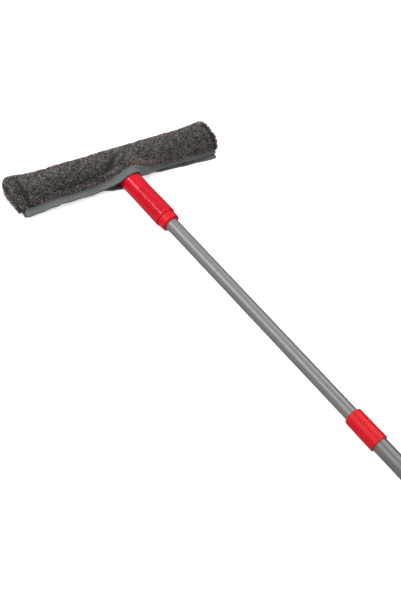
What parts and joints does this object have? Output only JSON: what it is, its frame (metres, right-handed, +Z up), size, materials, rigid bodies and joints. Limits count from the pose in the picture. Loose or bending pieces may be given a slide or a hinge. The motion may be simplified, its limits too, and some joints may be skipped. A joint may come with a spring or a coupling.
{
  "type": "window cleaning squeegee",
  "caption": "Long-handled window cleaning tool: a pile washing sleeve over a T-shaped head with a hidden rubber blade, on a telescopic pole with a twist lock and a hanging eye.",
  "frame": {"origin": "on the floor under the middle of the lying tool's bounding box", "axes": "+X along the head, +Y from the hanging eye to the head along the pole, +Z up from the floor"},
  "size_m": [0.35, 1.036, 0.041],
  "materials": {
    "neck_red": "glossy",
    "trim_red": "satin",
    "tube_grey": "satin",
    "pile": "long pile",
    "tape": "woven",
    "strip": "hook and loop",
    "bar_plastic": "matte",
    "blade_rubber": "matte",
    "fastener": "zinc plated",
    "lock_plastic": "natural"
  },
  "bodies": {
    "lower_pole": {"outer_tube": "tube_grey", "guide_collar": "trim_red", "hand_grip": "trim_red", "end_cap": "trim_red"},
    "lock_body": {"expander_sleeve": "lock_plastic"},
    "lock_wedge": {"lock_cone": "lock_plastic"},
    "upper_pole": {"inner_tube": "tube_grey", "pole_tip": "trim_red", "tube_plug": "lock_plastic", "lock_screw": "fastener"},
    "head": {"neck_grip": "neck_red", "head_bar": "bar_plastic", "bar_end_caps": "bar_plastic", "rubber_blade": "blade_rubber", "neck_screws": "fastener", "neck_nuts": "fastener", "wash_sleeve": "pile", "front_binding": "tape", "back_binding": "tape", "hook_strips": "strip", "loop_strips": "strip"}
  },
  "joints": [
    {"name": "pole_slide", "type": "slide", "parent": "lower_pole", "child": "lock_body", "axis": [0, 1, 0], "range_m": [-0.358, 0.0515]},
    {"name": "pole_twist", "type": "hinge", "parent": "lock_body", "child": "upper_pole", "pos_m": [0, 0, 0.018], "axis": [0, 1, 0], "range_deg": [0, 180]},
    {"name": "cone_slide", "type": "slide", "parent": "lock_body", "child": "lock_wedge", "axis": [0, -1, 0], "range_m": [0, 0.0021]},
    {"name": "head_release", "type": "slide", "parent": "upper_pole", "child": "head", "axis": [0, 1, 0], "range_m": [0, 0.06]}
  ],
  "couplings": [
    {"joint": "cone_slide", "follows": "pole_twist", "m_per_rad": 0.00063662}
  ]
}
